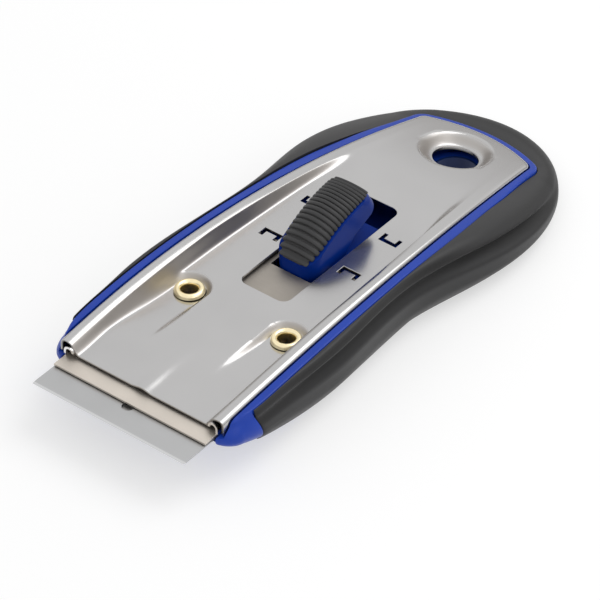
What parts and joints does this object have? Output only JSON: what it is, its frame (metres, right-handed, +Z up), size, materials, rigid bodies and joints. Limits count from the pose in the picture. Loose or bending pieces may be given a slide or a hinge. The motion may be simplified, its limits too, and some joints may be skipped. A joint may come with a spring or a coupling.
{
  "type": "glass scraper",
  "caption": "Hand scraper with a retracting single-edge blade under an arched pressed-steel cover, ribbed thumb slider, waisted soft grip and dished hang hole.",
  "frame": {"origin": "on the flat underside, on the middle line, 56 mm behind the cover plate's front edge", "axes": "+Z up from the flat underside, +Y from the blade to the hang hole, +X across the tool"},
  "size_m": [0.0564, 0.1341, 0.0232],
  "materials": {
    "plate_steel": "bright pressed stainless sheet",
    "tray_blue": "satin blue moulding",
    "grip_rubber": "soft charcoal overmould",
    "eyelet_brass": "bright brass",
    "carrier_steel": "plain sheet steel",
    "blade_steel": "ground carbon steel",
    "spine_steel": "folded sheet steel",
    "jaw_steel": "plain sheet steel",
    "rivet_steel": "plain steel",
    "slider_blue": "semi-gloss blue moulding",
    "pad_rubber": "soft charcoal ribbed pad"
  },
  "bodies": {
    "handle": {"cover_plate": "plate_steel", "tray": "tray_blue", "grip": "grip_rubber", "eyelet_left": "eyelet_brass", "eyelet_right": "eyelet_brass"},
    "carriage": {"blade_carrier": "carrier_steel", "blade": "blade_steel", "blade_spine": "spine_steel", "blade_jaw": "jaw_steel", "jaw_rivet_left": "rivet_steel", "jaw_rivet_right": "rivet_steel"},
    "thumb": {"thumb_slider": "slider_blue", "thumb_pad": "pad_rubber"}
  },
  "joints": [
    {"name": "blade_slide", "type": "slide", "parent": "handle", "child": "carriage", "axis": [0, -1, 0], "range_m": [-0.0125, 0.008]},
    {"name": "thumb_press", "type": "hinge", "parent": "carriage", "child": "thumb", "pos_m": [0, -0.0093, 0.0101], "axis": [-1, 0, 0], "range_deg": [0, 4], "stiffness_Nm_per_rad": 0.8, "springref_deg": -2.86}
  ]
}
